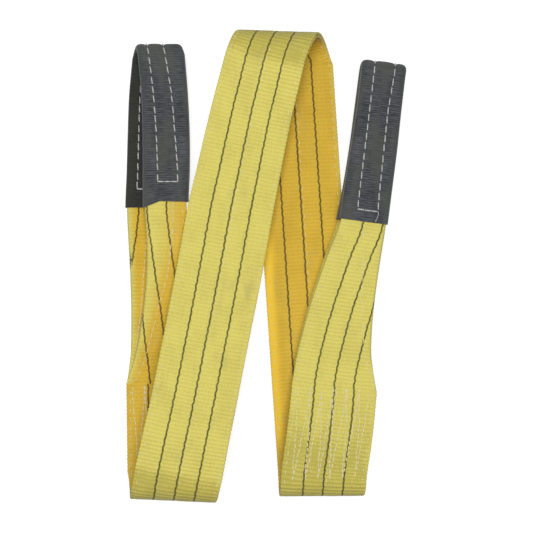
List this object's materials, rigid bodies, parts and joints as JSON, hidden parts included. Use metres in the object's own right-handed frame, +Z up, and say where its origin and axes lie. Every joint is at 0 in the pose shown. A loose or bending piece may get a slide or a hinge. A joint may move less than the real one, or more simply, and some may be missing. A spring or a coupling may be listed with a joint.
{
  "type": "flat web sling",
  "caption": "Two-ply flat webbing sling with a folded, sleeved eye at each end, laid out in four legs and able to unroll and open its eyes.",
  "frame": {"origin": "middle of the laid-out sling's bounding box, on the floor", "axes": "+Z up from the floor; +Y along the legs towards the tips of the eyes; +X across the legs, from the left eye to the right eye"},
  "size_m": [0.3072, 0.5102, 0.057],
  "materials": {
    "webbing": "matt woven polyester",
    "sleeve": "matt coated woven polyester",
    "thread": "matt twisted thread"
  },
  "bodies": {
    "strap_c": {"strap_c_outer_ply": "webbing", "strap_c_inner_ply": "webbing"},
    "fold_bc_3": {"fold_bc_3_outer_ply": "webbing", "fold_bc_3_inner_ply": "webbing"},
    "fold_bc_2": {"fold_bc_2_outer_ply": "webbing", "fold_bc_2_inner_ply": "webbing"},
    "fold_bc_1": {"fold_bc_1_outer_ply": "webbing", "fold_bc_1_inner_ply": "webbing"},
    "fold_ab_3": {"fold_ab_3_outer_ply": "webbing", "fold_ab_3_inner_ply": "webbing"},
    "fold_ab_2": {"fold_ab_2_outer_ply": "webbing", "fold_ab_2_inner_ply": "webbing"},
    "fold_ab_1": {"fold_ab_1_outer_ply": "webbing", "fold_ab_1_inner_ply": "webbing"},
    "fold_cd_1": {"fold_cd_1_outer_ply": "webbing", "fold_cd_1_inner_ply": "webbing"},
    "fold_cd_2": {"fold_cd_2_outer_ply": "webbing", "fold_cd_2_inner_ply": "webbing"},
    "fold_cd_3": {"fold_cd_3_outer_ply": "webbing", "fold_cd_3_inner_ply": "webbing"},
    "strap_b": {"strap_b_1_outer_ply": "webbing", "strap_b_1_inner_ply": "webbing", "strap_b_2_outer_ply": "webbing", "strap_b_2_inner_ply": "webbing", "strap_b_3_outer_ply": "webbing", "strap_b_3_inner_ply": "webbing"},
    "strap_a": {"strap_a_outer_ply": "webbing", "strap_a_inner_ply": "webbing", "left_eye_front_taper": "webbing", "left_eye_back_taper": "webbing", "left_splice_stitching": "thread"},
    "strap_d": {"strap_d_outer_ply": "webbing", "strap_d_inner_ply": "webbing", "right_eye_front_taper": "webbing", "right_eye_back_taper": "webbing", "right_splice_stitching": "thread"},
    "left_eye_front_1": {"left_eye_front_band_1": "webbing", "left_sleeve_front_1": "sleeve", "left_sleeve_stitching_1": "thread"},
    "left_eye_front_2": {"left_eye_front_band_2": "webbing", "left_sleeve_front_2": "sleeve", "left_eye_tip_band": "webbing", "left_sleeve_tip": "sleeve"},
    "left_eye_back_2": {"left_eye_back_band_2": "webbing", "left_sleeve_back_2": "sleeve"},
    "left_eye_back_1": {"left_eye_back_band_1": "webbing", "left_sleeve_back_1": "sleeve"},
    "right_eye_front_1": {"right_eye_front_band_1": "webbing", "right_sleeve_front_1": "sleeve", "right_sleeve_stitching_1": "thread"},
    "right_eye_front_2": {"right_eye_front_band_2": "webbing", "right_sleeve_front_2": "sleeve", "right_eye_tip_band": "webbing", "right_sleeve_tip": "sleeve"},
    "right_eye_back_2": {"right_eye_back_band_2": "webbing", "right_sleeve_back_2": "sleeve"},
    "right_eye_back_1": {"right_eye_back_band_1": "webbing", "right_sleeve_back_1": "sleeve"}
  },
  "joints": [
    {"name": "fold_bc_unrolls", "type": "hinge", "parent": "strap_c", "child": "fold_bc_3", "pos_m": [0.02851, 0.22817, 0], "axis": [-0.9888, 0.149, 0], "range_deg": [0, 45]},
    {"name": "fold_bc_link_2", "type": "hinge", "parent": "fold_bc_3", "child": "fold_bc_2", "pos_m": [0.02026, 0.24924, 0.01225], "axis": [-0.9962, 0.0723, -0.0477], "range_deg": [0, 45]},
    {"name": "fold_bc_link_3", "type": "hinge", "parent": "fold_bc_2", "child": "fold_bc_1", "pos_m": [0.01145, 0.2492, 0.03644], "axis": [-0.9864, 0.074, -0.1466], "range_deg": [0, 45]},
    {"name": "fold_bc_link_4", "type": "hinge", "parent": "fold_bc_1", "child": "strap_b", "pos_m": [0.00237, 0.2284, 0.04853], "axis": [-0.9668, 0.1609, -0.1983], "range_deg": [0, 45]},
    {"name": "fold_ab_unrolls", "type": "hinge", "parent": "strap_b", "child": "fold_ab_3", "pos_m": [-0.09329, -0.23011, 0.04509], "axis": [-0.9941, 0.0864, 0.0648], "range_deg": [0, 45]},
    {"name": "fold_ab_link_2", "type": "hinge", "parent": "fold_ab_3", "child": "fold_ab_2", "pos_m": [-0.09776, -0.24957, 0.03384], "axis": [-0.9971, 0.0589, 0.0491], "range_deg": [0, 45]},
    {"name": "fold_ab_link_3", "type": "hinge", "parent": "fold_ab_2", "child": "fold_ab_1", "pos_m": [-0.10204, -0.24959, 0.01131], "axis": [-0.9981, 0.0593, 0.0165], "range_deg": [0, 45]},
    {"name": "fold_ab_link_4", "type": "hinge", "parent": "fold_ab_1", "child": "strap_a", "pos_m": [-0.10604, -0.23007, 0], "axis": [-0.9961, 0.0882, 0], "range_deg": [0, 45]},
    {"name": "fold_cd_unrolls", "type": "hinge", "parent": "strap_c", "child": "fold_cd_1", "pos_m": [0.05941, -0.22882, 0], "axis": [1, 0.0055, 0], "range_deg": [0, 45]},
    {"name": "fold_cd_link_2", "type": "hinge", "parent": "fold_cd_1", "child": "fold_cd_2", "pos_m": [0.06028, -0.24573, 0.00977], "axis": [1, 0.0055, 0], "range_deg": [0, 45]},
    {"name": "fold_cd_link_3", "type": "hinge", "parent": "fold_cd_2", "child": "fold_cd_3", "pos_m": [0.06112, -0.24573, 0.02932], "axis": [1, 0.0055, 0], "range_deg": [0, 45]},
    {"name": "fold_cd_link_4", "type": "hinge", "parent": "fold_cd_3", "child": "strap_d", "pos_m": [0.06196, -0.22882, 0.0391], "axis": [1, 0.0055, 0], "range_deg": [0, 45]},
    {"name": "left_eye_opens", "type": "hinge", "parent": "strap_a", "child": "left_eye_front_1", "pos_m": [-0.10979, 0.06145, 0.0276], "axis": [1, 0, 0], "range_deg": [0, 50]},
    {"name": "left_eye_front_bend", "type": "hinge", "parent": "left_eye_front_1", "child": "left_eye_front_2", "pos_m": [-0.10454, 0.14445, 0.0178], "axis": [1, 0, 0], "range_deg": [-50, 0]},
    {"name": "left_eye_tip_bend", "type": "hinge", "parent": "left_eye_front_2", "child": "left_eye_back_2", "pos_m": [-0.12059, 0.22745, 0], "axis": [1, 0, 0], "range_deg": [0, 50]},
    {"name": "left_eye_back_bend", "type": "hinge", "parent": "left_eye_back_2", "child": "left_eye_back_1", "pos_m": [-0.12584, 0.14445, 0.0098], "axis": [1, 0, 0], "range_deg": [-50, 0]},
    {"name": "right_eye_opens", "type": "hinge", "parent": "strap_d", "child": "right_eye_front_1", "pos_m": [0.10511, 0.04333, 0.0356], "axis": [0.9912, -0.1321, 0], "range_deg": [0, 50]},
    {"name": "right_eye_front_bend", "type": "hinge", "parent": "right_eye_front_1", "child": "right_eye_front_2", "pos_m": [0.11576, 0.12483, 0.0211], "axis": [0.9912, -0.1321, 0], "range_deg": [-50, 0]},
    {"name": "right_eye_tip_bend", "type": "hinge", "parent": "right_eye_front_2", "child": "right_eye_back_2", "pos_m": [0.12796, 0.20795, 0], "axis": [0.9912, -0.1321, 0], "range_deg": [0, 50]},
    {"name": "right_eye_back_bend", "type": "hinge", "parent": "right_eye_back_2", "child": "right_eye_back_1", "pos_m": [0.11731, 0.12645, 0.0145], "axis": [0.9912, -0.1321, 0], "range_deg": [-50, 0]}
  ],
  "couplings": [
    {"joint": "fold_bc_link_2", "follows": "fold_bc_unrolls", "ratio": 1},
    {"joint": "fold_bc_link_3", "follows": "fold_bc_unrolls", "ratio": 1},
    {"joint": "fold_bc_link_4", "follows": "fold_bc_unrolls", "ratio": 1},
    {"joint": "fold_ab_link_2", "follows": "fold_ab_unrolls", "ratio": 1},
    {"joint": "fold_ab_link_3", "follows": "fold_ab_unrolls", "ratio": 1},
    {"joint": "fold_ab_link_4", "follows": "fold_ab_unrolls", "ratio": 1},
    {"joint": "fold_cd_link_2", "follows": "fold_cd_unrolls", "ratio": 1},
    {"joint": "fold_cd_link_3", "follows": "fold_cd_unrolls", "ratio": 1},
    {"joint": "fold_cd_link_4", "follows": "fold_cd_unrolls", "ratio": 1},
    {"joint": "left_eye_front_bend", "follows": "left_eye_opens", "ratio": -1},
    {"joint": "left_eye_tip_bend", "follows": "left_eye_opens", "ratio": 1},
    {"joint": "left_eye_back_bend", "follows": "left_eye_opens", "ratio": -1},
    {"joint": "right_eye_front_bend", "follows": "right_eye_opens", "ratio": -1},
    {"joint": "right_eye_tip_bend", "follows": "right_eye_opens", "ratio": 1},
    {"joint": "right_eye_back_bend", "follows": "right_eye_opens", "ratio": -1}
  ]
}
